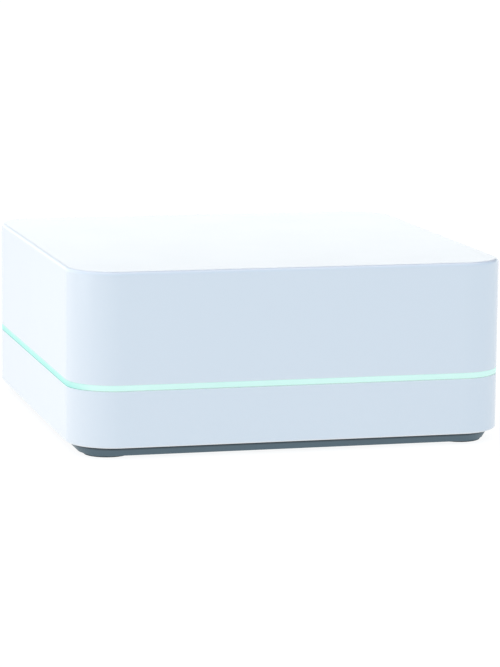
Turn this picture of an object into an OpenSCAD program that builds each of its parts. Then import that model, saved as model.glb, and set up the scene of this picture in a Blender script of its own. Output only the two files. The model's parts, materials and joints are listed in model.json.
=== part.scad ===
// Smart home hub: a square two-part casing with a lit ring between its shells, a base tray on four
// rubber feet, and the boards, radios, sockets and push buttons that it holds.
// Frame: origin on the resting plane under the middle of the body, +Z up, front facing -Y.

/* [Casing] */
// Width of the casing, left to right
body_w = 122; // [118:1:150]
// Depth of the casing, front to back
body_d = 122; // [118:1:150]
// Height of both shells together, without the base
shell_h = 47.6; // [42:0.2:65]
// Radius of the four upright corners
corner_r = 13; // [12:0.5:16]
// Wall thickness of the shells
wall = 2.2; // [1.8:0.1:2.8]
// Thickness of the top
top_t = 2.4; // [1.8:0.1:4]
// Rounding of the top edge
top_round = 1; // [0.6:0.1:2]
// Rounding of the lower shell's bottom edge
bottom_round = 0.6; // [0.3:0.1:1]

/* [Light ring] */
// Height of the lit line
ring_t = 1.7; // [1.5:0.1:2.4]
// Height of the lit line's middle above the lower shell's bottom edge
ring_rise = 16.3; // [15:0.1:20]
// Width of the light ring, from its outer face inwards
ring_w = 5; // [4.6:0.1:5.2]
// Number of light emitters along each side
emitters_per_side = 6; // [3:1:8]

/* [Base and feet] */
// Height of base that shows under the shells
base_h = 2.6; // [2.2:0.1:5]
// Distance that the base is set back from the shells' outer face
base_inset = 2.3; // [1.5:0.1:4]
// How much the base narrows towards its underside
base_taper = 1.2; // [0.4:0.1:2]
// Thickness of the base's floor
floor_t = 2; // [1.4:0.1:2.2]
// Diameter of a foot
foot_d = 12.7; // [11:0.1:16]
// Thickness of a foot
foot_t = 1.6; // [1.2:0.1:2]
// How far a foot stands out below the base
foot_drop = 0.6; // [0.4:0.1:1]
// Distance of a foot's middle from the two nearest sides of the casing
foot_inset = 11; // [10.5:0.1:13]

/* [Main board] */
// Thickness of the main board
board_t = 1.6; // [1:0.1:2]
// Gap between the light ring's top and the main board's underside
board_gap = 2.05; // [1.8:0.05:4]
// Distance of the board's front and side edges from the casing's outer face
board_inset = 11; // [10:0.5:14]
// Distance of a board post from the middle, both ways
post_pitch = 38; // [36:0.5:39]
// Width of the processor
processor_w = 19; // [14:1:21]
// Height of the processor
processor_h = 1.6; // [1:0.1:2.5]
// Thickness of the thermal pad
pad_t = 0.6; // [0.4:0.1:1.5]
// Width of the heat sink
heat_sink_w = 30; // [28:1:34]
// Height of the heat sink
heat_sink_h = 11; // [8:0.5:14]
// Number of fins on the heat sink
fin_count = 8; // [5:1:9]

/* [Sockets] */
// Width of the network socket
network_w = 16; // [15.5:0.1:17]
// Height of the network socket
network_h = 13.4; // [13:0.1:14.5]
// Depth of the network socket
network_l = 16; // [15:0.5:19]
// Width of a USB socket
usb_w = 13.2; // [12.9:0.1:14.5]
// Height of a USB socket
usb_h = 5.7; // [5.4:0.1:7]
// Depth of a USB socket
usb_l = 14; // [13:0.5:18]
// Bore of the power socket
power_bore_d = 6.3; // [6:0.1:6.6]
// Diameter of the power socket's centre pin
power_pin_d = 2; // [1.6:0.1:2.5]
// Diameter of the rear panel's hole for the power plug
power_hole_d = 9.2; // [8.4:0.1:10]

/* [Buttons] */
// Diameter of the pairing button
button_d = 6.4; // [5:0.1:8]
// Travel of the pairing button
button_travel = 0.5; // [0.2:0.05:0.7]
// Diameter of the reset pinhole
pinhole_d = 1.8; // [1.2:0.1:2.4]
// Travel of the reset plunger
reset_travel = 0.25; // [0.15:0.05:0.5]

/* [Hidden] */
$fn = 64;

// Colours
shell_white = [0.93, 0.96, 0.98];
ring_mint = [0.62, 1, 0.9];
base_slate = [0.31, 0.4, 0.43];
rubber_dark = [0.15, 0.21, 0.24];
plastic_dark = [0.16, 0.17, 0.18];
board_green = [0.08, 0.33, 0.2];
chip_black = [0.1, 0.1, 0.11];
steel_bright = [0.76, 0.77, 0.79];
ferrite_grey = [0.3, 0.3, 0.32];
brass_gold = [0.85, 0.68, 0.3];

// Gaps and fits
slip = 0.2;          // between two mouldings that slot together
seam = 0.15;         // round the rear panel and the sockets in its openings
snug = 0.05;         // round a pressed or soldered piece
button_gap = 0.3;    // round and behind the moving buttons
plunger_gap = 0.1;   // round the plungers in their switches
over = 1;            // how far a cut runs past the face that it opens

// Levels above the resting plane
shell_z = foot_drop + base_h;
ring_mid = shell_z + ring_rise;
ring_lo = ring_mid - ring_t / 2;
ring_hi = ring_mid + ring_t / 2;
top_z = shell_z + shell_h;
ceiling_z = top_z - top_t;
floor_z = foot_drop + floor_t;
board_z = ring_hi + board_gap;
board_top = board_z + board_t;

// Light ring's locating rib, the same above and below
rib_w = 1.4;
rib_h = 1.25;
rib_in = wall + slip;

// Light board under the ring's inner edge, its ledge and the cover over the emitters
light_board_t = 1;
light_board_w = 4;
light_board_in = ring_w + 0.4;
light_board_top = ring_lo - snug;
light_board_z = light_board_top - light_board_t;
light_board_out = light_board_in + light_board_w;
emitter = [3, 1.4, 1.5];
emitter_in = ring_w + 0.7;
emitter_span = 40;
emitter_end_gap = 8;
baffle_t = 1;
baffle_wall = 0.8;
baffle_rise = 0.5;
ledge_t = 1.6;
ledge_lap = 3;
tab = [12, 14];

// Plug and socket that link the light board's tab to the main board
link = [5, 12];
link_x = body_w / 2 - light_board_out - 6.6;
link_split = ring_hi + snug;

// Base tray
shadow_gap = 0.5;
neck_in = base_inset + 1.3;
neck_lap = 0.1;
spigot_t = 2.6;
spigot_top = shell_z + 3.3;
seat_t = 1.5;
slot = [2, 10];
slot_pitch = 5;
slot_count = 11;
slot_row_y = 28;
label = [52, 26, 0.2];
label_sink = 0.3;

// Screws: the casing's four go up under the feet, the board's four go down into its posts
screw_in = foot_inset + 2;
screw_x = body_w / 2 - screw_in;
screw_y = body_d / 2 - screw_in;
screw_r = 1.35;
screw_head = [2.6, 1.6];
screw_crown_share = 0.4;
screw_crown_narrow = 0.8;
screw_slot_share = 1.1;
screw_slot_w = 0.6;
screw_well_r = 3;
screw_sink = 0.4;
screw_reach = 14;
boss_r = 3.3;
boss_base_r = 4.4;
boss_z = floor_z + 5.4;
boss_hole_depth = 12;
post_r = 3.2;
post_screw_r = 0.95;
post_screw_reach = 8;
post_head = [2.4, 1.5];
gusset_t = 1.2;
gusset_drop = 4;
notch_reach = boss_r + 1.1;

// Top's stiffening ribs
ceiling_rib_t = 1.2;
ceiling_rib_h = 3;
ceiling_rib_x = 20;

// Rear panel, set in a notch of the upper shell's rear wall
panel_recess = 0.8;
panel_w = 88;
flange_t = 1.2;
flange_lap = 3;
wall_in_y = body_d / 2 - wall;
panel_face_y = body_d / 2 - panel_recess;
panel_back_y = wall_in_y - flange_t;
panel_top = board_top + network_h + 2;
flange_lo = ring_hi + rib_h + slip;
port_face_y = panel_face_y - slip;
power_face_y = panel_back_y - slip;

// Board outline: its rear edge stops short of the panel, and the sockets overhang it
port_overhang = 6;
board_w = body_w - 2 * board_inset;
board_front = board_inset - body_d / 2;
board_rear = port_face_y - port_overhang;

// Chips and their places on the main board
memory_chip = [9, 13, 1.1];
memory_x = 24;
memory_y = [6, -12];
flash_chip = [12, 18, 1.1];
flash_place = [-23, 12];
network_chip = [8, 8, 0.9];
network_chip_y = 24;
radio_chip = [7, 7, 0.9];
radio_place = [26, -32];
chip_mark = [0.4, 0.1, 1.2];

// Power supply's pieces, the crystal and the rows of small components
transformer = [12.7, 8.5, 5.8];
transformer_y = 34.5;
regulator = [6.5, 6.5, 2.3];
regulator_place = [33, 17];
inductor = [7.3, 7.3, 4.2];
inductor_place = [30, 28];
inductor_groove = [3.1, 2.6, 0.4];
capacitor_x = 43.5;
capacitor_y = [27, 18, 9];
capacitor_r = 3.15;
capacitor_seat = [6.6, 6.6, 1.4];
capacitor_neck = [2, 2.6];
capacitor_neck_r = capacitor_r - 0.3;
capacitor_h = 7.6;
crystal = [11, 4.4, 3.4];
crystal_place = [-22, -12];
small_part = [1.6, 0.8, 0.7];
small_pitch = 4;

// Places along the rear, from the middle
network_x = 14;
usb_x = [-6, -24];
power_x = 35;
button_x = -38;
reset_x = 26.2;
jack_wall = 0.3;
network_cavity = [11.8, 7.2, 11];
network_cavity_z = board_top + 3.4;
latch_slot = [6.4, 2.4];
contact_count = 8;
contact_pitch = 1.02;
contact_w = 0.46;
contact_y = 2;
contact_run = 8;
contact_drop = 1.6;
contact_fall = 1.8;
contact_rise = 1.2;
contact_slot = [contact_count * contact_pitch + 1, 1.6, 1.4];
link_lamp = [2.6, 4, 1.8];
lamp_reach = network_w / 2 - 2;
lamp_z = board_top + network_h - link_lamp[2] - 0.5;
usb_tongue = [11.2, 9.5, 1.84];
usb_tongue_drop = 0.7;
usb_back = 3;
power_body = [9, 14.2, 11];
power_z = board_top + 6.5;
power_depth = 10;
power_pin_set = 1;
power_shank_r = power_pin_d / 2 + 0.4;
power_strip = [2.2, 0.3];
power_strip_bow = 4;
power_strip_rise = 0.9;
power_strip_z = power_z - power_bore_d / 2 - 0.75;

// Buttons
button_z = board_top + 4.5;
button_collar_r = button_d / 2 + 1.1;
button_collar_t = 1;
button_front_y = panel_face_y + 0.6;
button_collar_y = panel_back_y - button_gap;
plunger_r = 1.5;
switch_body = [6, 4, 7];
switch_y = button_collar_y - button_collar_t - 4.2;
plunger_sink = 1.5;
reset_z = board_top + 2.4;
reset_body = [4.7, 3.6, 4.4];
reset_y = panel_back_y - 6;
reset_plunger_r = 1.1;
reset_sink = 1;
reset_reach = 2.4;

// Heat sink and its push pins
processor_y = -4;
sink_z = board_top + processor_h + pad_t;
sink_base_t = 2;
fin_t = 1.2;
pin_place = heat_sink_w / 2 - 2.8;
pin_pocket = 7;
pin_r = 1.25;
pin_head = [2.6, 1];
pin_rise = 5;
pin_barb = 1.2;
pin_barb_r = [0.7 * pin_r, 1.5 * pin_r];
spring_wire_r = 0.22;
spring_r = 2.05;
spring_turns = 4;

// Radios
radio_board_t = 0.8;
mesh_place = [-34, -26];
mesh_board = [20, 15];
mesh_can = [14, 13, 2.2];
wifi_place = [-39, -4];
wifi_board = [18, 13];
wifi_can = [11, 11, 2];
mesh_can_shift = 2;
wifi_can_shift = 2.5;
blade = [0.8, 40, 8];
blade_z = board_top + 8;
blade_y = -4;
lead_r = 0.57;
coil_r = 2.9;
coil_wire_r = 0.4;
coil_turns = 9;
coil_l = 20;
coil_place = [21, -45];

// ---- Shapes shared by several pieces ----

// Rounded rectangle, centred
module outline(w, d, r) {
    square([w - 2 * r, d], center = true);
    square([w, d - 2 * r], center = true);
    for (x = [-1, 1], y = [-1, 1])
        translate([x * (w / 2 - r), y * (d / 2 - r)])
            circle(r);
}

// The casing's own outline, set in by a distance all round
module casing_outline(inset) {
    outline(body_w - 2 * inset, body_d - 2 * inset, corner_r - min(inset, corner_r - 1));
}

module casing_slab(inset, z0, z1) {
    translate([0, 0, z0])
        linear_extrude(z1 - z0)
            casing_outline(inset);
}

// A square ring that follows the casing, between two insets and two levels
module casing_ring(outer, inner, z0, z1) {
    difference() {
        casing_slab(outer, z0, z1);
        casing_slab(inner, z0 - over, z1 + over);
    }
}

module quarter_disc(r) {
    intersection() {
        circle(r);
        square(r);
    }
}

// Rounded edge that runs round the casing, above z or mirrored below it
module edge_round(r, z, up) {
    translate([0, 0, z])
        mirror([0, 0, up ? 0 : 1]) {
            for (side = [0, 1]) {
                mirror([side, 0, 0])
                    translate([body_w / 2 - r, 0, 0])
                        rotate([90, 0, 0])
                            linear_extrude(body_d - 2 * corner_r, center = true)
                                quarter_disc(r);
                mirror([0, side, 0])
                    rotate(90)
                        translate([body_d / 2 - r, 0, 0])
                            rotate([90, 0, 0])
                                linear_extrude(body_w - 2 * corner_r, center = true)
                                    quarter_disc(r);
            }
            for (x = [0, 1], y = [0, 1])
                mirror([x, 0, 0])
                    mirror([0, y, 0])
                        translate([body_w / 2 - corner_r, body_d / 2 - corner_r, 0])
                            rotate_extrude(angle = 90)
                                translate([corner_r - r, 0])
                                    quarter_disc(r);
        }
}

// Block that narrows downwards on all four sides, its corners cones
module tapered_slab(inset, taper, z0, z1) {
    w = body_w / 2 - inset;
    d = body_d / 2 - inset;
    r = corner_r - inset;
    h = z1 - z0;
    translate([0, 0, z0]) {
        for (x = [-1, 1], y = [-1, 1])
            translate([x * (w - r), y * (d - r), 0])
                cylinder(h, r - taper, r);
        rotate([90, 0, 0])
            linear_extrude(2 * (d - r), center = true)
                polygon([[taper - w, 0], [w - taper, 0], [w, h], [-w, h]]);
        rotate([90, 0, 90])
            linear_extrude(2 * (w - r), center = true)
                polygon([[taper - d, 0], [d - taper, 0], [d, h], [-d, h]]);
    }
}

// Box given by its size and the middle of its underside
module block(size, place) {
    translate([place[0] - size[0] / 2, place[1] - size[1] / 2, place[2]])
        cube(size);
}

// The same at the four corners of a rectangle
module at_corners(x, y) {
    for (sx = [-1, 1], sy = [-1, 1])
        translate([sx * x, sy * y, 0])
            children();
}

// The same at the heat sink's two push pins, on one diagonal of the processor
module at_pins() {
    for (s = [-1, 1])
        translate([s * pin_place, processor_y - s * pin_place, 0])
            children();
}

// Cylinder along +Y from y0 to y1
module rod_y(r, x, y0, y1, z) {
    translate([x, y1, z])
        rotate([90, 0, 0])
            cylinder(y1 - y0, r, r);
}

function unit(v) = v / norm(v);
function heading(path, i) = unit(path[min(i + 1, len(path) - 1)] - path[max(i - 1, 0)]);
function ring_point(path, i, r, angle, up) =
    let (n = unit(cross(heading(path, i), up)), b = cross(heading(path, i), n))
    path[i] + r * (cos(angle) * n + sin(angle) * b);

// Round wire along a path of points; up is any direction that the path never takes
module wire(path, r, sides, up) {
    last = len(path) - 1;
    points = [for (i = [0 : last], k = [0 : sides - 1]) ring_point(path, i, r, 360 * k / sides, up)];
    skin = [for (i = [0 : last - 1], k = [0 : sides - 1])
        let (a = i * sides + k, b = i * sides + (k + 1) % sides)
        each [[a, a + sides, b + sides], [a, b + sides, b]]];
    start = [for (k = [0 : sides - 1]) k];
    end = [for (k = [sides - 1 : -1 : 0]) last * sides + k];
    polyhedron(points, concat([start, end], skin));
}

function helix(r, height, turns, steps) =
    [for (i = [0 : turns * steps])
        [r * cos(360 * i / steps), r * sin(360 * i / steps), height * i / (turns * steps)]];

// ---- Casing ----

module upper_shell() {
    color(shell_white)
        difference() {
            union() {
                difference() {
                    union() {
                        casing_slab(0, ring_hi, top_z - top_round);
                        casing_slab(top_round, top_z - top_round, top_z);
                        edge_round(top_round, top_z - top_round, true);
                    }
                    casing_slab(wall, ring_hi - over, ceiling_z);
                }
                at_corners(screw_x, screw_y)
                    translate([0, 0, boss_z])
                        cylinder(ceiling_z + top_t / 2 - boss_z, boss_r, boss_r);
                for (x = [-ceiling_rib_x, ceiling_rib_x])
                    block([ceiling_rib_t, body_d - wall, ceiling_rib_h + top_t / 2],
                          [x, 0, ceiling_z - ceiling_rib_h]);
            }
            at_corners(screw_x, screw_y)
                translate([0, 0, boss_z - over])
                    cylinder(boss_hole_depth + over, screw_r + snug, screw_r + snug);
            block([panel_w + 2 * seam, 2 * wall, panel_top + seam - ring_hi + over],
                  [0, wall_in_y + wall, ring_hi - over]);
        }
}

module light_ring() {
    color(ring_mint) {
        casing_ring(0, ring_w, ring_lo, ring_hi);
        casing_ring(rib_in, rib_in + rib_w, ring_lo - rib_h, ring_hi + rib_h);
    }
}

module lower_shell() {
    color(shell_white) {
        difference() {
            union() {
                casing_slab(0, shell_z + bottom_round, ring_lo);
                casing_slab(bottom_round, shell_z, shell_z + bottom_round);
                edge_round(bottom_round, shell_z + bottom_round, false);
            }
            casing_slab(wall, shell_z - over, ring_lo + over);
        }
        difference() {
            casing_ring(wall / 2, light_board_in + ledge_lap, light_board_z - ledge_t, light_board_z);
            casing_ring(wall, rib_in + rib_w + slip, ring_lo - rib_h - slip, ring_lo);
        }
        casing_ring(wall / 2, rib_in + spigot_t, spigot_top, spigot_top + seat_t);
    }
}

module post(x, y) {
    translate([x, y, floor_z - floor_t / 2]) {
        cylinder(board_z - floor_z + floor_t / 2, post_r, post_r);
        for (turn = [0, 90])
            rotate(turn)
                translate([-2 * post_r, -gusset_t / 2, 0])
                    cube([4 * post_r, gusset_t, board_z - floor_z - gusset_drop]);
    }
}

// Vent slot through the floor, its ends round
module floor_slot(x, y) {
    translate([x, y, 0]) {
        block([slot[0], slot[1] - slot[0], floor_z + over], [0, 0, 0]);
        for (end = [-1, 1])
            translate([0, end * (slot[1] - slot[0]) / 2, 0])
                cylinder(floor_z + over, slot[0] / 2, slot[0] / 2);
    }
}

module base_tray() {
    difference() {
        union() {
            tapered_slab(base_inset, base_taper, foot_drop, shell_z - shadow_gap);
            casing_slab(neck_in, shell_z - shadow_gap - neck_lap, shell_z + neck_lap);
            casing_ring(rib_in, rib_in + spigot_t, shell_z, spigot_top);
        }
        casing_slab(rib_in + spigot_t, floor_z, spigot_top + over);
    }
}

module base_plate() {
    color(base_slate)
        difference() {
            union() {
                base_tray();
                at_corners(screw_x, screw_y)
                    translate([0, 0, floor_z - floor_t / 2])
                        cylinder(boss_z - floor_z + floor_t / 2, boss_base_r, boss_base_r);
                for (x = [-post_pitch, post_pitch], y = [-post_pitch, post_pitch])
                    post(x, y);
            }
            at_corners(body_w / 2 - foot_inset, body_d / 2 - foot_inset)
                translate([0, 0, -over])
                    cylinder(foot_t + over, foot_d / 2 + snug, foot_d / 2 + snug);
            at_corners(screw_x, screw_y) {
                translate([0, 0, foot_t - over])
                    cylinder(screw_sink + screw_head[1] + over, screw_well_r, screw_well_r);
                cylinder(boss_z + over, screw_r + slip, screw_r + slip);
            }
            at_corners(post_pitch, post_pitch)
                translate([0, 0, board_z - post_screw_reach - over])
                    cylinder(post_screw_reach + 2 * over, post_screw_r + snug, post_screw_r + snug);
            block([label[0] + slip, label[1] + slip, label_sink + over], [0, 0, foot_drop - over]);
            for (i = [0 : slot_count - 1], y = [-slot_row_y, slot_row_y])
                floor_slot((i - (slot_count - 1) / 2) * slot_pitch, y);
        }
}

// Rubber foot with a chamfered lower edge
module foot(x, y) {
    chamfer = 0.3;
    color(rubber_dark)
        translate([x * (body_w / 2 - foot_inset), y * (body_d / 2 - foot_inset), 0])
            rotate_extrude()
                polygon([[0, 0], [foot_d / 2 - chamfer, 0], [foot_d / 2, chamfer],
                         [foot_d / 2, foot_t], [0, foot_t]]);
}

// Pan-head screw pointing along +Z, with a cross recess; head is its radius and height
module screw(head, r, reach) {
    recess = [head[0] * screw_slot_share, screw_slot_w, head[1] / 2];
    difference() {
        union() {
            translate([0, 0, head[1] * screw_crown_share])
                cylinder(head[1] * (1 - screw_crown_share), head[0], head[0]);
            cylinder(head[1] * screw_crown_share, head[0] * screw_crown_narrow, head[0]);
            cylinder(head[1] + reach, r, r);
        }
        for (turn = [0, 90])
            rotate(turn)
                block(recess + [0, 0, over], [0, 0, -over]);
    }
}

module base_screws() {
    color(steel_bright)
        at_corners(screw_x, screw_y)
            translate([0, 0, foot_t + screw_sink])
                screw(screw_head, screw_r, screw_reach);
}

module panel_block(w, h, x, z) {
    block([w, 4 * wall, h], [x, wall_in_y, z]);
}

module rear_panel() {
    color(shell_white)
        difference() {
            union() {
                translate([-panel_w / 2, wall_in_y - flange_t / 2, ring_hi])
                    cube([panel_w, panel_face_y - wall_in_y + flange_t / 2, panel_top - ring_hi]);
                translate([-panel_w / 2 - flange_lap, panel_back_y, flange_lo])
                    cube([panel_w + 2 * flange_lap, flange_t, panel_top + flange_lap - flange_lo]);
            }
            translate([-panel_w, panel_back_y - over, ring_hi - over])
                cube([2 * panel_w, wall_in_y - panel_back_y + over, flange_lo - ring_hi + over]);
            panel_block(network_w + 2 * seam, network_h + 2 * seam, network_x, board_top - seam);
            for (x = usb_x)
                panel_block(usb_w + 2 * seam, usb_h + 2 * seam, x, board_top - seam);
            rod_y(power_hole_d / 2, power_x, panel_back_y - over, panel_face_y + over, power_z);
            rod_y(button_d / 2 + button_gap, button_x, panel_back_y - over, panel_face_y + over, button_z);
            rod_y(pinhole_d / 2, reset_x, panel_back_y - over, panel_face_y + over, reset_z);
        }
}

module rating_label() {
    color("silver")
        block(label, [0, 0, foot_drop + label_sink - label[2]]);
}

// ---- Lighting ----

module light_baffle() {
    color("white") {
        casing_ring(rib_in + rib_w + slip, light_board_out, ring_hi + snug, ring_hi + snug + baffle_t);
        casing_ring(light_board_out - baffle_wall, light_board_out, light_board_top, ring_hi + baffle_rise);
    }
}

module light_board() {
    color(board_green) {
        casing_ring(light_board_in, light_board_out, light_board_z, light_board_top);
        block([tab[0], tab[1], light_board_t],
              [body_w / 2 - light_board_out - tab[0] / 2 + over, 0, light_board_z]);
    }
}

// One side's row of emitters, facing +X, at a distance from the middle
module emitter_row(reach, length) {
    step = length / (emitters_per_side - 1);
    for (i = [0 : emitters_per_side - 1])
        block([emitter[1], emitter[0], emitter[2]],
              [reach - emitter[1] / 2, i * step - length / 2, light_board_top]);
}

module light_emitters() {
    along_d = body_d - 2 * corner_r - 2 * emitter_end_gap;
    along_w = body_w - 2 * corner_r - 2 * emitter_end_gap;
    color("ivory")
        for (side = [0, 180]) {
            rotate(side)
                emitter_row(body_w / 2 - emitter_in, along_d);
            rotate(side + 90)
                emitter_row(body_d / 2 - emitter_in, along_w);
        }
}

module link_socket() {
    color(plastic_dark)
        block([link[0], link[1], link_split - light_board_top], [link_x, 0, light_board_top]);
}

module link_header() {
    color("ivory")
        block([link[0], link[1], board_z - link_split], [link_x, 0, link_split]);
}

// ---- Main board and what is soldered to it ----

module main_board() {
    color(board_green)
        difference() {
            translate([-board_w / 2, board_front, board_z])
                cube([board_w, board_rear - board_front, board_t]);
            for (x = [0, 1], y = [0, 1])
                mirror([x, 0, 0])
                    mirror([0, y, 0])
                        translate([screw_x - notch_reach, screw_y - notch_reach, board_z - over])
                            cube([board_w, board_w, board_t + 2 * over]);
            at_corners(post_pitch, post_pitch)
                cylinder(board_top + over, post_screw_r + slip, post_screw_r + slip);
            at_pins()
                cylinder(board_top + over, pin_r + seam, pin_r + seam);
        }
}

module board_screws() {
    color(steel_bright)
        at_corners(post_pitch, post_pitch)
            translate([0, 0, board_top + post_head[1]])
                mirror([0, 0, 1])
                    screw(post_head, post_screw_r, post_screw_reach);
}

// Chip with a shallow round mark near one corner
module chip(size, place) {
    color(chip_black)
        difference() {
            block(size, [place[0], place[1], board_top]);
            translate([place[0] - size[0] / 2 + chip_mark[2], place[1] + size[1] / 2 - chip_mark[2],
                       board_top + size[2] - chip_mark[1]])
                cylinder(over, chip_mark[0], chip_mark[0]);
        }
}

module processor() {
    chip([processor_w, processor_w, processor_h], [0, processor_y]);
}

module thermal_pad() {
    color("lightblue")
        block([processor_w - 2, processor_w - 2, pad_t], [0, processor_y, board_top + processor_h]);
}

module heat_sink() {
    step = (heat_sink_w - fin_t) / (fin_count - 1);
    color("silver")
        difference() {
            union() {
                block([heat_sink_w, heat_sink_w, sink_base_t], [0, processor_y, sink_z]);
                for (i = [0 : fin_count - 1])
                    block([heat_sink_w, fin_t, heat_sink_h],
                          [0, processor_y + (fin_t - heat_sink_w) / 2 + i * step, sink_z]);
            }
            at_pins() {
                block([pin_pocket, pin_pocket, heat_sink_h + over], [0, 0, sink_z + sink_base_t]);
                cylinder(sink_z + heat_sink_h, pin_r + seam, pin_r + seam);
            }
        }
}

module heat_sink_pins() {
    head_z = sink_z + sink_base_t + pin_rise;
    color("ivory")
        at_pins() {
            translate([0, 0, board_z - pin_barb])
                cylinder(head_z - board_z + pin_barb, pin_r, pin_r);
            translate([0, 0, board_z - pin_barb - snug])
                cylinder(pin_barb, pin_barb_r[0], pin_barb_r[1]);
            translate([0, 0, head_z])
                cylinder(pin_head[1], pin_head[0], pin_head[0]);
        }
}

module heat_sink_springs() {
    lift = spring_wire_r + snug;
    color(steel_bright)
        at_pins()
            translate([0, 0, sink_z + sink_base_t + lift])
                wire(helix(spring_r, pin_rise - 2 * lift, spring_turns, 12), spring_wire_r, 6, [0, 0, 1]);
}

module memory_chip_1() {
    chip(memory_chip, [memory_x, memory_y[0]]);
}

module memory_chip_2() {
    chip(memory_chip, [memory_x, memory_y[1]]);
}

module flash_memory() {
    chip(flash_chip, flash_place);
}

module network_controller() {
    chip(network_chip, [network_x, network_chip_y]);
}

module radio_controller() {
    chip(radio_chip, radio_place);
}

module network_transformer() {
    color(chip_black)
        block(transformer, [network_x, transformer_y, board_top]);
}

module power_regulator() {
    chip(regulator, regulator_place);
}

// Square inductor with a round groove in its top
module power_inductor() {
    color(ferrite_grey)
        difference() {
            block(inductor, [inductor_place[0], inductor_place[1], board_top]);
            translate([inductor_place[0], inductor_place[1], board_top + inductor[2] - inductor_groove[2]])
                difference() {
                    cylinder(over, inductor_groove[0], inductor_groove[0]);
                    translate([0, 0, -over])
                        cylinder(3 * over, inductor_groove[1], inductor_groove[1]);
                }
        }
}

// Electrolytic capacitor on its square seat, its can necked above the seat
module bulk_capacitor(y) {
    color("silver")
        translate([capacitor_x, y, board_top]) {
            block(capacitor_seat, [0, 0, 0]);
            cylinder(capacitor_neck[0], capacitor_r, capacitor_r);
            cylinder(capacitor_h - over, capacitor_neck_r, capacitor_neck_r);
            translate([0, 0, capacitor_neck[1]])
                cylinder(capacitor_h - capacitor_neck[1], capacitor_r, capacitor_r);
        }
}

module crystal_can() {
    r = crystal[1] / 2;
    color(steel_bright)
        translate([crystal_place[0], crystal_place[1], board_top]) {
            block([crystal[0] - 2 * r, 2 * r, crystal[2]], [0, 0, 0]);
            for (end = [-1, 1])
                translate([end * (crystal[0] / 2 - r), 0, 0])
                    cylinder(crystal[2], r, r);
        }
}

// Row of small components, evenly spaced from a place along one axis of the board
module component_row(count, place, along) {
    for (i = [0 : count - 1])
        block(small_part, [place[0] + i * small_pitch * along[0], place[1] + i * small_pitch * along[1],
                           board_top]);
}

module small_components() {
    color("tan") {
        component_row(10, [-18, -26], [1, 0]);
        component_row(10, [-18, -37], [1, 0]);
        component_row(5, [-16, 16], [0, 1]);
        component_row(5, [-4, 17], [0, 1]);
    }
}

// ---- Sockets ----

module network_shield() {
    color(steel_bright)
        difference() {
            block([network_w, network_l, network_h], [network_x, port_face_y - network_l / 2, board_top]);
            block([network_w - 2 * jack_wall, network_l, network_h - jack_wall + over],
                  [network_x, port_face_y - network_l / 2 + jack_wall, board_top - over]);
        }
}

module network_insert() {
    inset = jack_wall + snug;
    color(plastic_dark)
        difference() {
            block([network_w - 2 * inset, network_l - inset, network_h - inset],
                  [network_x, port_face_y - (network_l - inset) / 2, board_top]);
            block([network_cavity[0], 2 * network_cavity[2], network_cavity[1]],
                  [network_x, port_face_y, network_cavity_z]);
            block([latch_slot[0], 2 * network_cavity[2], latch_slot[1] + over],
                  [network_x, port_face_y, network_cavity_z - latch_slot[1]]);
            block(contact_slot, [network_x, port_face_y - contact_y,
                                 network_cavity_z + network_cavity[1] + contact_rise - contact_slot[2]]);
            for (side = [-1, 1])
                block([link_lamp[0] + 2 * snug, 2 * link_lamp[1], link_lamp[2] + 2 * snug],
                      [network_x + side * lamp_reach, port_face_y, lamp_z - snug]);
        }
}

// Row of flat sprung wires, each hooked over at the front and slanting down to the rear
module network_contacts() {
    z_top = network_cavity_z + network_cavity[1] + contact_rise - snug;
    z_hook = z_top - contact_drop;
    z_end = z_hook - contact_fall;
    front = contact_y - port_face_y;
    color(brass_gold)
        for (i = [0 : contact_count - 1])
            translate([network_x + (i - (contact_count - 1) / 2) * contact_pitch + contact_w / 2, 0, 0])
                rotate([90, 0, -90])
                    linear_extrude(contact_w)
                        polygon([[front, z_top], [front - contact_w, z_top],
                                 [front - contact_w, z_hook - contact_w],
                                 [front + contact_run, z_end - contact_w],
                                 [front + contact_run, z_end], [front, z_hook]]);
}

module network_lamps() {
    color("palegreen")
        for (side = [-1, 1])
            block(link_lamp, [network_x + side * lamp_reach, port_face_y - link_lamp[1] / 2, lamp_z]);
}

module usb_shell(x) {
    color(steel_bright)
        difference() {
            block([usb_w, usb_l, usb_h], [x, port_face_y - usb_l / 2, board_top]);
            block([usb_w - 2 * jack_wall, usb_l, usb_h - 2 * jack_wall],
                  [x, port_face_y - usb_l / 2 + jack_wall, board_top + jack_wall]);
        }
}

// Moulded block at the back of a USB socket, with its flat tongue
module usb_tongue_block(x) {
    inset = jack_wall + snug;
    back_y = port_face_y - usb_l + inset;
    color("ivory") {
        block([usb_w - 2 * inset, usb_back, usb_h - 2 * inset],
              [x, back_y + usb_back / 2, board_top + inset]);
        block([usb_tongue[0], usb_tongue[1] + over, usb_tongue[2]],
              [x, back_y + usb_back + (usb_tongue[1] - over) / 2,
               board_top + usb_h - jack_wall - usb_tongue_drop - usb_tongue[2]]);
    }
}

module power_socket() {
    color(plastic_dark)
        difference() {
            block(power_body, [power_x, power_face_y - power_body[1] / 2, board_top]);
            rod_y(power_bore_d / 2, power_x, power_face_y - power_depth, power_face_y + over, power_z);
            rod_y(power_shank_r + snug, power_x, power_face_y - power_body[1] - over,
                  power_face_y, power_z);
            block([power_strip[0] + 2 * snug, power_depth + over, 2 * over],
                  [power_x, power_face_y - (power_depth - over) / 2, power_strip_z - snug]);
        }
}

// Pin in the middle of the power socket's bore, on a thicker shank through the socket's back
module power_centre_pin() {
    bottom_y = power_face_y - power_depth;
    color(brass_gold) {
        rod_y(power_shank_r, power_x, power_face_y - power_body[1], bottom_y, power_z);
        rod_y(power_pin_d / 2, power_x, bottom_y - over, power_face_y - power_pin_set, power_z);
    }
}

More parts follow.
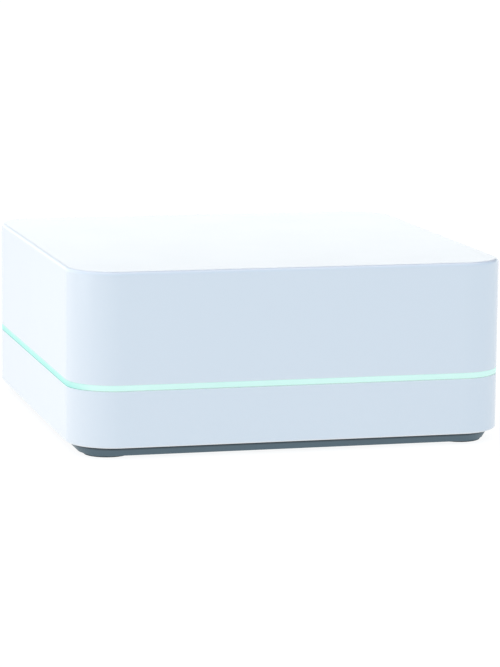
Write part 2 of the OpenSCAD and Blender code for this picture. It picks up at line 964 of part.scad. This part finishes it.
// Sprung strip in the floor of the bore, bowed up towards its middle
module power_contact() {
    bow = power_strip_bow;
    t = power_strip[1];
    color(brass_gold)
        translate([power_x + power_strip[0] / 2, power_face_y - power_depth, power_strip_z])
            rotate([90, 0, -90])
                linear_extrude(power_strip[0])
                    polygon([[0, 0], [-bow, power_strip_rise], [-2 * bow, 0],
                             [-2 * bow, t], [-bow, power_strip_rise + t], [0, t]]);
}

// ---- Radios and antennas ----

module radio_board(size, place) {
    color(board_green)
        block([size[0], size[1], radio_board_t], [place[0], place[1], board_top]);
}

module radio_can(size, place, shift) {
    color(steel_bright)
        block(size, [place[0] + shift, place[1], board_top + radio_board_t]);
}

module mesh_radio_board() {
    radio_board(mesh_board, mesh_place);
}

module mesh_radio_can() {
    radio_can(mesh_can, mesh_place, mesh_can_shift);
}

module wifi_radio_board() {
    radio_board(wifi_board, wifi_place);
}

module wifi_radio_can() {
    radio_can(wifi_can, wifi_place, wifi_can_shift);
}

// Flat antenna on edge against the left wall
module wifi_antenna() {
    color(board_green)
        block(blade, [wall + snug + blade[0] / 2 - body_w / 2, blade_y, blade_z]);
}

// Thin coaxial lead from the flat antenna to the Wi-Fi board
module wifi_antenna_lead() {
    blade_x = wall + snug + blade[0] - body_w / 2;
    socket_x = wifi_place[0] - wifi_board[0] / 2 + 1.5;
    socket_z = board_top + radio_board_t + snug;
    route = [[blade_x + 0.7, blade_y, blade_z + 4], [blade_x + 0.8, blade_y, blade_z + 1],
             [blade_x + 1.2, blade_y, blade_z - 1.5], [blade_x + 2.5, blade_y, blade_z - 3],
             [blade_x + 4.5, blade_y, blade_z - 3.4], [socket_x - 2.6, blade_y, socket_z + 3.2],
             [socket_x - 1, blade_y, socket_z + 2.6], [socket_x, blade_y, socket_z + 1.4],
             [socket_x, blade_y, socket_z + 0.7], [socket_x, blade_y, socket_z]];
    color("dimgray")
        wire(route, lead_r, 8, [0, 1, 0]);
}

// Helical antenna lying along X
module coil_antenna() {
    color(brass_gold)
        translate([coil_place[0], coil_place[1], board_top + coil_r + coil_wire_r + snug])
            rotate([0, 90, 0])
                wire(helix(coil_r, coil_l, coil_turns, 14), coil_wire_r, 7, [0, 0, 1]);
}

// ---- Buttons ----

module pairing_button() {
    color(shell_white) {
        rod_y(button_d / 2, button_x, button_collar_y - button_collar_t, button_front_y, button_z);
        rod_y(button_collar_r, button_x, button_collar_y - button_collar_t, button_collar_y, button_z);
    }
}

module pairing_plunger() {
    color(plastic_dark)
        rod_y(plunger_r, button_x, switch_y - plunger_sink, button_collar_y - button_collar_t, button_z);
}

module pairing_switch() {
    hole_depth = plunger_sink + button_travel + button_gap;
    color(chip_black)
        difference() {
            block(switch_body, [button_x, switch_y - switch_body[1] / 2, board_top]);
            rod_y(plunger_r + plunger_gap, button_x, switch_y - hole_depth, switch_y + over, button_z);
        }
}

module reset_switch() {
    hole_depth = reset_sink + reset_travel + button_gap;
    color(chip_black)
        difference() {
            block(reset_body, [reset_x, reset_y - reset_body[1] / 2, board_top]);
            rod_y(reset_plunger_r + plunger_gap, reset_x, reset_y - hole_depth, reset_y + over, reset_z);
        }
}

module reset_plunger() {
    color("orange")
        rod_y(reset_plunger_r, reset_x, reset_y - reset_sink, reset_y + reset_reach, reset_z);
}

// ---- The nodes ----

upper_shell();
light_ring();
lower_shell();
base_plate();
foot(-1, -1);  // foot_front_left
foot(1, -1);  // foot_front_right
foot(-1, 1);  // foot_rear_left
foot(1, 1);  // foot_rear_right
base_screws();
rear_panel();
rating_label();
light_baffle();
light_board();
light_emitters();
link_socket();
link_header();
main_board();
board_screws();
processor();
thermal_pad();
heat_sink();
heat_sink_pins();
heat_sink_springs();
memory_chip_1();
memory_chip_2();
flash_memory();  // flash_chip
network_controller();  // network_chip
network_transformer();
network_shield();
network_insert();
network_contacts();
network_lamps();
usb_shell(usb_x[0]);  // usb_shell_1
usb_tongue_block(usb_x[0]);  // usb_tongue_1
usb_shell(usb_x[1]);  // usb_shell_2
usb_tongue_block(usb_x[1]);  // usb_tongue_2
power_socket();
power_centre_pin();
power_contact();
power_inductor();
power_regulator();
bulk_capacitor(capacitor_y[0]);  // bulk_capacitor_1
bulk_capacitor(capacitor_y[1]);  // bulk_capacitor_2
bulk_capacitor(capacitor_y[2]);  // bulk_capacitor_3
crystal_can();  // crystal
mesh_radio_board();
mesh_radio_can();
wifi_radio_board();
wifi_radio_can();
wifi_antenna();
wifi_antenna_lead();
coil_antenna();
radio_controller();  // radio_chip
small_components();
pairing_button();
pairing_plunger();
pairing_switch();
reset_switch();
reset_plunger();
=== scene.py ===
"""Looks for the smart home hub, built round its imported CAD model, in metres and in the CAD's own frame."""
import math

import bmesh
import bpy
from mathutils import Matrix, Vector
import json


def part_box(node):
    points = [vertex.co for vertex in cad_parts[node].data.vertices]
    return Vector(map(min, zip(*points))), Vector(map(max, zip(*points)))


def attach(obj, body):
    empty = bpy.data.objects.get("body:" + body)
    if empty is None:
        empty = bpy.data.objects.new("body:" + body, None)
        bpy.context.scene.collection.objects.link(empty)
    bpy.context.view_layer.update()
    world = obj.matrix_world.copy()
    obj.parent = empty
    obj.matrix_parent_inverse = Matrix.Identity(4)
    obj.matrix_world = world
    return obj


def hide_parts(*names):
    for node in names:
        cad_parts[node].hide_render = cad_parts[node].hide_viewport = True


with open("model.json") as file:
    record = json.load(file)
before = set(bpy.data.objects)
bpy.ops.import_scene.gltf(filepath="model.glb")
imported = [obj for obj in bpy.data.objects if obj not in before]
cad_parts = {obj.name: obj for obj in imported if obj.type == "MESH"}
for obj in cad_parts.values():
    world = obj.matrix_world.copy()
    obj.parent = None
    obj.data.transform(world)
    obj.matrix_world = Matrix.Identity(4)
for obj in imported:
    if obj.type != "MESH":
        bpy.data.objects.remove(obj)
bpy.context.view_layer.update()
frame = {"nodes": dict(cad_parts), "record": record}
nodes = frame["nodes"]
MM = 0.001

# ---- Levels and sizes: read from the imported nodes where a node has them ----
shell_lo, shell_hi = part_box("lower_shell")
panel_lo, panel_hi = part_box("rear_panel")
half = shell_hi.x
shell_z = shell_lo.z
ring_lo = shell_hi.z
ring_hi = panel_lo.z
top_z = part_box("upper_shell")[1].z

# Casing
wall = 2.2 * MM
top_t = 2.4 * MM
ceiling_z = top_z - top_t
corner_r = 13 * MM
corner_steps = 28
top_round = 1 * MM
bottom_round = 0.6 * MM
sunk = 0.5 * MM          # how far a boss, a rib or a flange runs into the plastic that carries it

# Screw bosses and ribs under the top
boss_place = 48 * MM
boss_r = 3.3 * MM
boss_bore = 1.4 * MM
boss_z = 8 * MM
boss_bore_top = 20 * MM
rib_x = 20 * MM
rib_half_t = 0.6 * MM
rib_drop = 3 * MM

# Ledges inside the lower shell, each given by its inner inset, its underside and its top
root = 1.5 * MM          # inset at which both ledges start, within the wall
lamp_ledge = (8.4 * MM, 16 * MM, 17.4 * MM)
base_ledge = (5 * MM, 6.5 * MM, 8 * MM)

# Light ring with its locating rib
ring_w = 5 * MM
ring_gap = 0.16 * MM     # fine dark line under the ring
ring_set = 0.02 * MM     # how far the ring is set back from the shells' faces
guide_out, guide_in = 2.4 * MM, 3.8 * MM
guide_rise = 1.2 * MM

# Rear panel, its flange and its openings
seam = 0.15 * MM
flange_lap = 3 * MM      # how far the flange reaches past the plate
side_lap = 1 * MM        # how far it runs in behind the plate's sides
flange_lo = ring_hi + 1.45 * MM
panel_half_w = panel_hi.x - flange_lap
panel_top = panel_hi.z - flange_lap
power_hole_r = 4.6 * MM
button_hole_r = 3.5 * MM
pinhole_r = 0.9 * MM


# ---- Camera: the photograph's viewing angle, from a little above and to the left of the front ----
def aim_camera():
    place = Vector((-0.21266, -0.81164, 0.15864))
    yaw, pitch, roll = 0.2599, 0.16, 0.0094
    side = Vector((math.cos(yaw), -math.sin(yaw), 0))
    ahead = Vector((math.sin(yaw) * math.cos(pitch), math.cos(yaw) * math.cos(pitch), -math.sin(pitch)))
    up = side.cross(ahead)
    right = side * math.cos(roll) + up * math.sin(roll)
    over = up * math.cos(roll) - side * math.sin(roll)
    data = bpy.data.cameras.new("camera")
    data.sensor_width = 36
    data.lens = 158.2
    camera = bpy.data.objects.new("camera", data)
    camera.matrix_world = Matrix((
        (right.x, over.x, -ahead.x, place.x),
        (right.y, over.y, -ahead.y, place.y),
        (right.z, over.z, -ahead.z, place.z),
        (0, 0, 0, 1)))
    bpy.context.scene.collection.objects.link(camera)
    bpy.context.scene.camera = camera


aim_camera()
bpy.context.scene.view_settings.view_transform = "Standard"


# ---- Node trees ----
class Nodes:
    """A node tree that is built up node by node."""

    def __init__(self, tree):
        self.tree = tree

    def add(self, kind, **inputs):
        made = self.tree.nodes.new(kind)
        for name, value in inputs.items():
            made.inputs[name.replace("_", " ")].default_value = value
        return made

    def link(self, a, b):
        self.tree.links.new(a, b)

    def split(self, source):
        made = self.add("ShaderNodeSeparateXYZ")
        self.link(source, made.inputs[0])
        return made.outputs

    def ramp(self, source, low, high, start=0.0, end=1.0, smooth=False):
        made = self.add("ShaderNodeMapRange", From_Min=start, From_Max=end, To_Min=low, To_Max=high)
        if smooth:
            made.interpolation_type = "SMOOTHSTEP"
        self.link(source, made.inputs["Value"])
        return made.outputs["Result"]

    def blend(self, factor, a, b):
        made = self.tree.nodes.new("ShaderNodeMix")
        made.data_type = "RGBA"
        for socket, colour in ((made.inputs[6], a), (made.inputs[7], b)):
            if isinstance(colour, tuple):
                socket.default_value = (*colour, 1)
            else:
                self.link(colour, socket)
        self.link(factor, made.inputs["Factor"])
        return made.outputs[2]


class Surface(Nodes):
    """One procedural material."""

    def __init__(self, name):
        self.material = bpy.data.materials.new(name)
        self.material.use_nodes = True
        super().__init__(self.material.node_tree)
        self.shader = self.tree.nodes["Principled BSDF"]
        self.place = self.add("ShaderNodeTexCoord").outputs["Object"]

    def noise(self, scale, detail=3.0, stretch=None):
        made = self.add("ShaderNodeTexNoise", Scale=scale, Detail=detail)
        source = self.place
        if stretch:
            mapping = self.add("ShaderNodeMapping", Scale=stretch)
            self.link(source, mapping.inputs["Vector"])
            source = mapping.outputs["Vector"]
        self.link(source, made.inputs["Vector"])
        return made.outputs["Fac"]

    def bump(self, source, distance):
        made = self.add("ShaderNodeBump", Distance=distance)
        self.link(source, made.inputs["Height"])
        self.link(made.outputs["Normal"], self.shader.inputs["Normal"])

    def feed(self, source, socket):
        self.link(source, self.shader.inputs[socket])

    def set(self, **inputs):
        for name, value in inputs.items():
            self.shader.inputs[name.replace("_", " ")].default_value = value


# ---- Materials ----
MATERIALS = {}


def mottled(name, a, b, rough, drift, grain, depth, stretch=None, painted_shade=None, **inputs):
    """A surface whose colour drifts between two tones, with uneven roughness and a fine bumpy grain.

    depth is the grain's, in millimetres. The painted shade is a colour and the two heights, in millimetres,
    between
    which the surface turns to it: shade painted into the colour where the part lies in shadow."""
    s = Surface(name)
    tone = s.blend(s.noise(drift), a, b)
    # Painted shade: between the two heights the colour turns to the dark shade colour.
    if painted_shade:
        colour, start, end = painted_shade
        height = s.split(s.place)["Z"]
        tone = s.blend(s.ramp(height, 0.0, 1.0, start * MM, end * MM), tone, colour)
    s.feed(tone, "Base Color")
    s.feed(s.ramp(s.noise(drift * 4, stretch=stretch), *rough), "Roughness")
    s.bump(s.noise(grain, 4, stretch), depth * MM)
    s.set(**inputs)
    MATERIALS[name] = s.material


def lit_diffuser(name):
    """Translucent plastic lit from behind: its glow drifts a little. The front glows whiter than the left
    side, painted light standing in for room light on the front, and the side whitens towards its top edge, a
    painted highlight.
    """
    s = Surface(name)
    place = s.split(s.place)
    # Painted light: the front's glow is whiter than the left side's, standing in for room light falling on
    # the front.
    flank = s.ramp(place["X"], 1.0, 0.0, 0.1 * MM - half, ring_w - half)
    front = s.blend(s.noise(90), (0.6, 0.69, 0.61), (0.65, 0.7, 0.64))
    # Painted highlight: the side's glow whitens towards its top edge.
    painted_highlight = s.ramp(place["Z"], 0.0, 1.0, ring_lo, ring_hi)
    side = s.blend(painted_highlight, (0.2, 0.52, 0.44), (0.42, 0.56, 0.5))
    s.feed(s.blend(flank, front, side), "Emission Color")
    s.feed(s.ramp(s.noise(30, 1), 0.64, 0.74), "Emission Strength")
    s.feed(s.blend(s.noise(200), (0.25, 0.5, 0.44), (0.3, 0.55, 0.5)), "Base Color")
    s.feed(s.ramp(s.noise(300), 0.5, 0.65), "Roughness")
    s.bump(s.noise(1500), 0.01 * MM)
    s.set(Specular_IOR_Level=0.2)
    MATERIALS[name] = s.material


# Each line: name, two tones, roughness range, scale of the drift, scale and depth of the grain
mottled("shell_white", (0.78, 0.8, 0.815), (0.8, 0.815, 0.83), (0.16, 0.2), 14, 700, 0.003, IOR=1.5)
mottled("panel_white", (0.7, 0.73, 0.76), (0.75, 0.78, 0.8), (0.42, 0.55), 20, 2500, 0.03)
# Painted shade: the base turns dark at its top, just under the shell's overhanging edge.
mottled("base_slate", (0.074, 0.118, 0.145), (0.09, 0.138, 0.165), (0.45, 0.6), 60, 3000, 0.04,
        painted_shade=((0.028, 0.045, 0.055), 2.1, 2.6))
# Painted shade: each foot turns near black at its bottom, where it meets the floor.
mottled("rubber_dark", (0.12, 0.165, 0.185), (0.14, 0.19, 0.21), (0.7, 0.9), 150, 2200, 0.05,
        painted_shade=((0.016, 0.024, 0.028), 0.32, 0.2))
mottled("screw_steel", (0.5, 0.51, 0.53), (0.62, 0.63, 0.64), (0.25, 0.4), 300, 1500, 0.01, Metallic=1)
mottled("label_silver", (0.5, 0.52, 0.54), (0.58, 0.6, 0.61), (0.3, 0.45), 30, 1800, 0.01)
mottled("reflector_white", (0.82, 0.83, 0.83), (0.86, 0.86, 0.86), (0.5, 0.7), 40, 1500, 0.02)
mottled("board_green", (0.006, 0.09, 0.04), (0.012, 0.14, 0.065), (0.22, 0.36), 260, 900, 0.03)
mottled("emitter_white", (0.85, 0.83, 0.7), (0.9, 0.86, 0.62), (0.3, 0.5), 500, 1500, 0.01)
mottled("plastic_black", (0.012, 0.012, 0.013), (0.022, 0.022, 0.024), (0.38, 0.55), 90, 2500, 0.03)
mottled("plastic_ivory", (0.7, 0.67, 0.56), (0.76, 0.73, 0.64), (0.35, 0.5), 80, 2000, 0.02)
mottled("chip_black", (0.012, 0.0125, 0.014), (0.022, 0.023, 0.025), (0.5, 0.7), 200, 5000, 0.03)
mottled("pad_blue", (0.2, 0.33, 0.45), (0.25, 0.4, 0.52), (0.6, 0.8), 200, 1500, 0.05)
mottled("sink_aluminium", (0.66, 0.67, 0.69), (0.74, 0.75, 0.77), (0.3, 0.45), 80, 900, 0.02,
        stretch=(1, 30, 30), Metallic=1)
mottled("plated_steel", (0.6, 0.6, 0.58), (0.7, 0.7, 0.68), (0.18, 0.34), 120, 700, 0.008, Metallic=1)
mottled("contact_gold", (0.72, 0.46, 0.14), (0.83, 0.58, 0.22), (0.15, 0.3), 300, 900, 0.005, Metallic=1)
mottled("lamp_clear", (0.3, 0.55, 0.22), (0.36, 0.62, 0.28), (0.1, 0.2), 200, 900, 0.005)
mottled("ferrite_grey", (0.05, 0.05, 0.052), (0.09, 0.09, 0.092), (0.5, 0.7), 300, 2500, 0.04)
mottled("can_aluminium", (0.7, 0.71, 0.73), (0.78, 0.79, 0.8), (0.2, 0.32), 100, 900, 0.01, Metallic=1)
mottled("lead_grey", (0.03, 0.03, 0.033), (0.045, 0.045, 0.05), (0.4, 0.55), 200, 1500, 0.02)
mottled("component_tan", (0.3, 0.2, 0.11), (0.42, 0.3, 0.18), (0.35, 0.5), 700, 1500, 0.02)
mottled("button_white", (0.78, 0.8, 0.815), (0.8, 0.815, 0.83), (0.2, 0.3), 60, 900, 0.005)
mottled("plunger_orange", (0.6, 0.14, 0.02), (0.68, 0.2, 0.04), (0.35, 0.5), 200, 1500, 0.01)
lit_diffuser("ring_glow")
mottled("floor_pale", (0.13, 0.13, 0.13), (0.15, 0.15, 0.15), (0.8, 0.9), 3, 40, 0,
        Specular_IOR_Level=0.1, Emission_Color=(1, 1, 1, 1), Emission_Strength=0.905)


# ---- Mesh building ----
class Shape:
    """A mesh under construction, made of swept rings, turned pieces and blocks."""

    def __init__(self):
        self.bm = bmesh.new()

    def rings(self, loops, closed=False):
        """Skin of quads over loops with equal counts of points. closed joins the last loop to the first."""
        made = [[self.bm.verts.new(p) for p in loop] for loop in loops]
        pairs = list(zip(made, made[1:] + made[:1]))
        for a, b in pairs if closed else pairs[:-1]:
            for i in range(len(a)):
                j = (i + 1) % len(a)
                self.bm.faces.new((a[i], a[j], b[j], b[i]))
        return made

    def capped(self, loops):
        """The same, with its first and last loops filled."""
        made = self.rings(loops)
        self.bm.faces.new(list(reversed(made[0])))
        self.bm.faces.new(made[-1])

    def block(self, lo, hi):
        corners = ((lo[0], lo[1]), (hi[0], lo[1]), (hi[0], hi[1]), (lo[0], hi[1]))
        self.capped([[(x, y, z) for x, y in corners] for z in (lo[2], hi[2])])

    def sweep(self, profile):
        """A ring round the casing whose cross-section is a closed list of (inset, z)."""
        self.rings([casing_loop(inset, z) for inset, z in profile], closed=True)

    def ledge(self, outer, inner, lo, hi):
        """A ring round the casing with a plain rectangular cross-section."""
        self.sweep([(outer, lo), (outer, hi), (inner, hi), (inner, lo)])

    def turned(self, profile, centre, axis="z", steps=64):
        """A solid of revolution: profile is a list of (radius, height), and both its ends are capped."""
        loops = []
        for r, h in profile:
            loop = []
            for k in range(steps):
                a = 2 * math.pi * k / steps
                u, v = r * math.cos(a), r * math.sin(a)
                upright = (centre[0] + u, centre[1] + v, h)
                lying = (centre[0] + u, h, centre[1] - v)
                loop.append(upright if axis == "z" else lying)
            loops.append(loop)
        self.capped(loops)

    def finish(self, name, slot, body, replaced, edge):
        """Turns the mesh into a piece with softly rounded edges."""
        bmesh.ops.remove_doubles(self.bm, verts=self.bm.verts, dist=1e-7)
        bmesh.ops.recalc_face_normals(self.bm, faces=self.bm.faces)
        mesh = bpy.data.meshes.new(name)
        self.bm.to_mesh(mesh)
        self.bm.free()
        for p in mesh.polygons:
            p.use_smooth = True
        mesh.materials.append(MATERIALS[slot])
        obj = bpy.data.objects.new(name, mesh)
        bpy.context.scene.collection.objects.link(obj)
        soften(obj, edge)
        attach(obj, body)
        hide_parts(*replaced)


def soften(obj, edge, angle=35):
    bevel = obj.modifiers.new("edges", "BEVEL")
    bevel.width = edge
    bevel.segments = 3
    bevel.limit_method = "ANGLE"
    bevel.angle_limit = math.radians(angle)
    bevel.use_clamp_overlap = True
    normals = obj.modifiers.new("normals", "WEIGHTED_NORMAL")
    normals.keep_sharp = True


def arc(centre, r, start, end, steps):
    """Points of an arc in a plane, from one angle in degrees to another."""
    angles = [math.radians(start + (end - start) * i / steps) for i in range(steps + 1)]
    return [(centre[0] + r * math.cos(a), centre[1] + r * math.sin(a)) for a in angles]


def round_rect(half_w, half_d, r, steps):
    """Outline of a rounded rectangle, anticlockwise from its right side."""
    points = []
    for turn, (sx, sy) in enumerate(((1, 1), (-1, 1), (-1, -1), (1, -1))):
        points += arc((sx * (half_w - r), sy * (half_d - r)), r, 90 * turn, 90 * turn + 90, steps)
    return points


def casing_loop(inset, z, notch=None):
    """The casing's outline at an inset and a level. notch adds rear points at plus and minus that x."""
    side = half - inset
    points = round_rect(side, side, corner_r - inset, corner_steps)
    if notch:
        points[corner_steps + 1:corner_steps + 1] = [(notch, side), (-notch, side)]
    return [(x, y, z) for x, y in points]


def middle(node):
    lo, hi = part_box(node)
    return (lo.x + hi.x) / 2, (lo.y + hi.y) / 2, (lo.z + hi.z) / 2


# ---- Casing ----
def open_notch(shape, loops):
    """Takes the shell's rear wall out between the two added points, and closes the cut's edges."""
    right, left = corner_steps + 1, corner_steps + 2
    inner_hi, inner_lo, outer_lo, outer_hi = loops[1:5]
    for a, b in ((inner_hi, inner_lo), (inner_lo, outer_lo), (outer_lo, outer_hi)):
        cell = {a[right], a[left], b[right], b[left]}
        shape.bm.faces.remove(next(f for f in a[right].link_faces if set(f.verts) == cell))
    for i in (right, left):
        shape.bm.faces.new((inner_hi[i], inner_lo[i], outer_lo[i], outer_hi[i]))
    shape.bm.faces.new((inner_hi[right], outer_hi[right], outer_hi[left], inner_hi[left]))


def build_upper_shell():
    """Rounded cover with its notch for the rear panel, its four screw bosses and the ribs under its top."""
    s = Shape()
    notch_x, notch_z = panel_half_w + seam, panel_top + seam
    profile = [(wall, ceiling_z), (wall, notch_z), (wall, ring_hi), (0, ring_hi), (0, notch_z)]
    profile += arc((top_round, top_z - top_round), top_round, 180, 90, 10)
    loops = s.rings([casing_loop(inset, z, notch_x) for inset, z in profile])
    s.bm.faces.new(loops[0])
    s.bm.faces.new(loops[-1])
    open_notch(s, loops)
    boss = [(boss_bore, boss_bore_top), (boss_bore, boss_z), (boss_r, boss_z), (boss_r, ceiling_z + sunk)]
    for x in (-boss_place, boss_place):
        for y in (-boss_place, boss_place):
            s.turned(boss, (x, y), steps=40)
    for x in (-rib_x, rib_x):
        s.block((x - rib_half_t, wall - half, ceiling_z - rib_drop),
                (x + rib_half_t, half - wall, ceiling_z + sunk))
    s.finish("cover", "shell_white", "housing", ["upper_shell"], 0.12 * MM)


def build_lower_shell():
    """Lower band of the casing, with the ledges that carry the light board and the base."""
    s = Shape()
    edge = arc((bottom_round, shell_z + bottom_round), bottom_round, 180, 270, 6)
    s.sweep([(0, ring_lo)] + edge + [(wall, shell_z), (wall, ring_lo)])
    s.ledge(root, *lamp_ledge)
    s.ledge(root, *base_ledge)
    s.finish("skirt", "shell_white", "housing", ["lower_shell"], 0.12 * MM)


def build_ring():
    """Lit diffuser, a hair shorter than its slot so that a fine line shows under it."""
    s = Shape()
    s.ledge(ring_set, ring_w, ring_lo + ring_gap, ring_hi)
    s.ledge(guide_out, guide_in, ring_lo - guide_rise, ring_hi + guide_rise)
    s.finish("diffuser", "ring_glow", "housing", ["light_ring"], 0.2 * MM)


def build_foot(node):
    """Rubber foot: a dished disc with a rounded lower rim."""
    lo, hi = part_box(node)
    x, y, _ = middle(node)
    r = (hi.x - lo.x) / 2
    rim_r = 0.35 * MM
    dish = [(0.5, 0.16), (3.6, 0.16), (3.9, 0.12), (4.1, 0.02), (4.3, 0)]
    profile = [(a * MM, b * MM) for a, b in dish]
    profile += arc((r - rim_r, rim_r), rim_r, -90, 0, 6) + [(r, hi.z)]
    s = Shape()
    s.turned(profile, (x, y), steps=96)
    s.finish(node.replace("foot", "bumper"), "rubber_dark", "housing", [node], 0.05 * MM)


def build_button():
    """Pairing button: a cap with a shallow finger dish, on its collar."""
    lo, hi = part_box("pairing_button")
    x, _, z = middle("pairing_button")
    r, rim_r, collar_t = 3.2 * MM, 0.4 * MM, 1 * MM
    collar_r = (hi.x - lo.x) / 2
    dish = [(0.4, 0.35), (1.2, 0.3), (2.0, 0.16), (2.5, 0.02)]
    profile = [(a * MM, hi.y - drop * MM) for a, drop in dish]
    profile += arc((r - rim_r, hi.y - rim_r), rim_r, 90, 0, 6)
    profile += [(r, lo.y + collar_t), (collar_r, lo.y + collar_t), (collar_r, lo.y)]
    s = Shape()
    s.turned(profile, (x, z), "y")
    s.finish("pairing_cap", "button_white", "pairing_button", ["pairing_button"], 0.08 * MM)


# ---- Rear panel: a plate with rounded openings, drawn as a flat curve and thickened ----
def outline(curve, points):
    spline = curve.splines.new("POLY")
    spline.points.add(len(points) - 1)
    for p, (x, z) in zip(spline.points, points):
        p.co = (x, z, 0, 1)
    spline.use_cyclic_u = True


def window(curve, node):
    """Opening that follows a socket's front, a seam's width away from it."""
    lo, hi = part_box(node)
    x, _, z = middle(node)
    shape = round_rect((hi.x - lo.x) / 2 + seam, (hi.z - lo.z) / 2 + seam, 0.6 * MM, 6)
    outline(curve, [(x + a, z + b) for a, b in shape])


def hole(curve, node, r, sides=64):
    x, _, z = middle(node)
    outline(curve, arc((x, z), r, 0, 360 - 360 / sides, sides - 1))


def panel_plate():
    """The plate as a mesh, upright in its place."""
    edge = 0.2 * MM
    depth = panel_hi.y - panel_lo.y
    curve = bpy.data.curves.new("panel_curve", "CURVE")
    curve.dimensions = "2D"
    curve.fill_mode = "BOTH"
    curve.extrude = depth / 2 - edge
    curve.bevel_depth = edge
    curve.bevel_resolution = 3
    curve.offset = -edge
    centre_z = (panel_top + ring_hi) / 2
    plate = round_rect(panel_half_w, (panel_top - ring_hi) / 2, 0.5 * MM, 6)
    outline(curve, [(x, z + centre_z) for x, z in plate])
    for node in ("network_shield", "usb_shell_1", "usb_shell_2"):
        window(curve, node)
    hole(curve, "power_centre_pin", power_hole_r)
    hole(curve, "pairing_button", button_hole_r)
    hole(curve, "reset_plunger", pinhole_r)
    flat = bpy.data.objects.new("panel_flat", curve)
    bpy.context.scene.collection.objects.link(flat)
    bpy.context.view_layer.update()
    mesh = bpy.data.meshes.new_from_object(flat.evaluated_get(bpy.context.evaluated_depsgraph_get()))
    bpy.data.objects.remove(flat)
    bpy.data.curves.remove(curve)
    centre_y = (panel_hi.y + panel_lo.y) / 2
    mesh.transform(Matrix(((1, 0, 0, 0), (0, 0, -1, centre_y), (0, 1, 0, 0), (0, 0, 0, 1))))
    return mesh


def build_panel():
    """The plate with the flange that holds it behind the edges of the shell's notch."""
    s = Shape()
    mesh = panel_plate()
    s.bm.from_mesh(mesh)
    bpy.data.meshes.remove(mesh)
    flange = panel_half_w + flange_lap
    inside = panel_half_w - side_lap
    back, front = panel_lo.y, half - wall
    for x0, x1 in ((-flange, -inside), (inside, flange)):
        s.block((x0, back, flange_lo), (x1, front, panel_top + flange_lap))
    s.block((-panel_half_w, back, panel_top - sunk), (panel_half_w, front, panel_top + flange_lap))
    s.finish("panel", "panel_white", "housing", ["rear_panel"], 0.08 * MM)


build_upper_shell()
build_lower_shell()
build_ring()
for foot in ("foot_front_left", "foot_front_right", "foot_rear_left", "foot_rear_right"):
    build_foot(foot)
build_button()
build_panel()


# ---- CAD nodes that are shown as they are: smooth rounds, softened edges and their materials ----
def dress(obj, slot):
    obj.data.materials.clear()
    obj.data.materials.append(MATERIALS[slot])
    for p in obj.data.polygons:
        p.use_smooth = True
    weld = obj.modifiers.new("weld", "WELD")
    weld.merge_threshold = 0.002 * MM
    flat = obj.modifiers.new("flat", "DECIMATE")
    flat.decimate_type = "DISSOLVE"
    flat.angle_limit = math.radians(0.5)
    soften(obj, 0.06 * MM, 40)


for part in frame["record"]["subparts"]:
    dress(nodes[part["node"]], part["material_slot"])


# ---- Stage: a pale floor under soft studio light ----
def build_floor():
    """A wide plain sheet that gives off most of its own light, so that the shadow on it stays faint."""
    mesh = bpy.data.meshes.new("floor")
    reach = 15
    corners = [(x * reach, y * reach, 0) for x, y in ((-1, -1), (1, -1), (1, 1), (-1, 1))]
    mesh.from_pydata(corners, [], [(0, 1, 2, 3)])
    mesh.materials.append(MATERIALS["floor_pale"])
    floor = bpy.data.objects.new("floor", mesh)
    bpy.context.scene.collection.objects.link(floor)


def light_world():
    """A cool room, bright above, brightest low behind the part, and dark at its upper rear right."""
    world = bpy.data.worlds.new("studio")
    bpy.context.scene.world = world
    world.use_nodes = True
    sky = Nodes(world.node_tree)
    way = sky.split(sky.add("ShaderNodeTexCoord").outputs["Generated"])

    def zone(axis, start, end, a, b):
        """Colour a turns to b where the direction's share along an axis goes from start to end."""
        return sky.blend(sky.ramp(way[axis], 0.0, 1.0, start, end, smooth=True), a, b)

    front, above = (0.34, 0.65, 0.9), (1.6, 1.46, 1.52)
    left, right = (0.38, 0.56, 0.74), (0.2, 0.45, 0.68)
    back_left, back_right = (1.1, 1.3, 1.47), (0.02, 0.02, 0.02)
    low_back = (1.7, 1.72, 1.62)
    room = zone("X", -0.3, -0.8, front, left)
    room = zone("X", 0.3, 0.8, room, right)
    room = zone("Z", 0.6, 0.85, room, above)
    rear = zone("X", -0.3, 0.3, back_left, back_right)
    rear = zone("Z", 0.1, 0.25, low_back, rear)
    sky.link(zone("Y", 0.1, 0.5, room, rear), sky.tree.nodes["Background"].inputs["Color"])


def side_light():
    """Soft box at the left, nearer the front, so that the left side falls off towards the rear."""
    data = bpy.data.lights.new("softbox", "AREA")
    data.size = 0.16
    data.energy = 0.078
    data.color = (0.96, 0.98, 1)
    box = bpy.data.objects.new("softbox", data)
    box.location = (-0.27, -0.085, 0.09)
    target = Vector((-0.061, -0.05, 0.03))
    box.rotation_euler = (target - box.location).to_track_quat("-Z", "Y").to_euler()
    bpy.context.scene.collection.objects.link(box)


build_floor()
light_world()
side_light()
